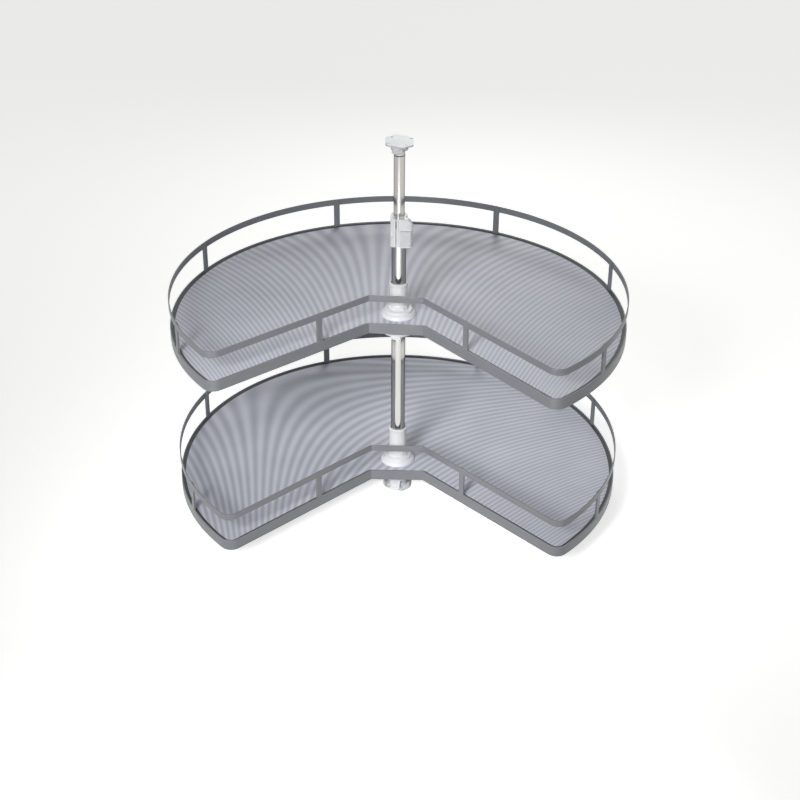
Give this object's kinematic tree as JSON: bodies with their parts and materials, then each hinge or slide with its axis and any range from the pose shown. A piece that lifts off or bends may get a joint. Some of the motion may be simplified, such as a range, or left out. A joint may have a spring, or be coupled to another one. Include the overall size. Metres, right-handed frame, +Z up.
{
  "type": "corner cabinet carousel",
  "caption": "Corner cabinet carousel: railed three-quarter round trays that turn independently on a telescopic chrome pole between floor and ceiling brackets.",
  "frame": {"origin": "centre of the base bracket's underside, on the cabinet floor", "axes": "+Z up the pole; -Y to the open quarter of the trays, where the cabinet's doors are; +X to the right seen from there"},
  "size_m": [0.8, 0.6954, 0.678],
  "materials": {
    "powder_steel": "satin mid-grey powder coat",
    "ribbed_mat": "pale cool grey, finely ribbed non-slip surface",
    "melamine_board": "pale grey melamine-faced chipboard",
    "white_abs": "satin white moulded ABS",
    "acetal": "natural white moulded acetal",
    "chromed_steel": "polished chrome plate on drawn steel tube",
    "zinc_screw": "bright zinc plate",
    "black_ring": "black rubber ring"
  },
  "bodies": {
    "pole": {"base_bracket": "white_abs", "base_set_screw": "zinc_screw", "lower_tube": "chromed_steel", "tube_bush": "acetal", "clamp_housing": "white_abs", "clamp_pin": "zinc_screw", "clamp_bolt": "zinc_screw"},
    "cam_lever": {"clamp_lever": "white_abs"},
    "extension": {"upper_tube": "chromed_steel", "guide_bush": "acetal", "joint_ring": "black_ring", "top_spigot": "chromed_steel", "top_bracket": "white_abs", "top_set_screw": "zinc_screw"},
    "lower_carrier": {"lower_collar": "white_abs", "lower_collar_screw": "zinc_screw", "lower_washer": "acetal"},
    "upper_carrier": {"upper_collar": "white_abs", "upper_collar_screw": "zinc_screw", "upper_washer": "acetal"},
    "lower_tray": {"lower_board": "melamine_board", "lower_mat": "ribbed_mat", "lower_band": "powder_steel", "lower_rail": "powder_steel", "lower_posts": "powder_steel", "lower_hub": "white_abs", "lower_bush": "acetal", "lower_hub_ring": "white_abs", "lower_hub_screws": "zinc_screw"},
    "upper_tray": {"upper_board": "melamine_board", "upper_mat": "ribbed_mat", "upper_band": "powder_steel", "upper_rail": "powder_steel", "upper_posts": "powder_steel", "upper_hub": "white_abs", "upper_bush": "acetal", "upper_hub_ring": "white_abs", "upper_hub_screws": "zinc_screw"}
  },
  "joints": [
    {"name": "lower_height", "type": "slide", "parent": "pole", "child": "lower_carrier", "axis": [0, 0, 1], "range_m": [0, 0.1]},
    {"name": "lower_turn", "type": "hinge", "parent": "lower_carrier", "child": "lower_tray", "pos_m": [0, 0, 0.0364], "axis": [0, 0, 1], "continuous": true},
    {"name": "upper_height", "type": "slide", "parent": "pole", "child": "upper_carrier", "axis": [0, 0, 1], "range_m": [-0.08, 0.06]},
    {"name": "upper_turn", "type": "hinge", "parent": "upper_carrier", "child": "upper_tray", "pos_m": [0, 0, 0.3392], "axis": [0, 0, 1], "continuous": true},
    {"name": "pole_extension", "type": "slide", "parent": "pole", "child": "extension", "axis": [0, 0, 1], "range_m": [-0.06, 0.06]},
    {"name": "cam_lever_flip", "type": "hinge", "parent": "pole", "child": "cam_lever", "pos_m": [0.0178, -0.0175, 0.511], "axis": [0, 0, 1], "range_deg": [0, 150]}
  ]
}
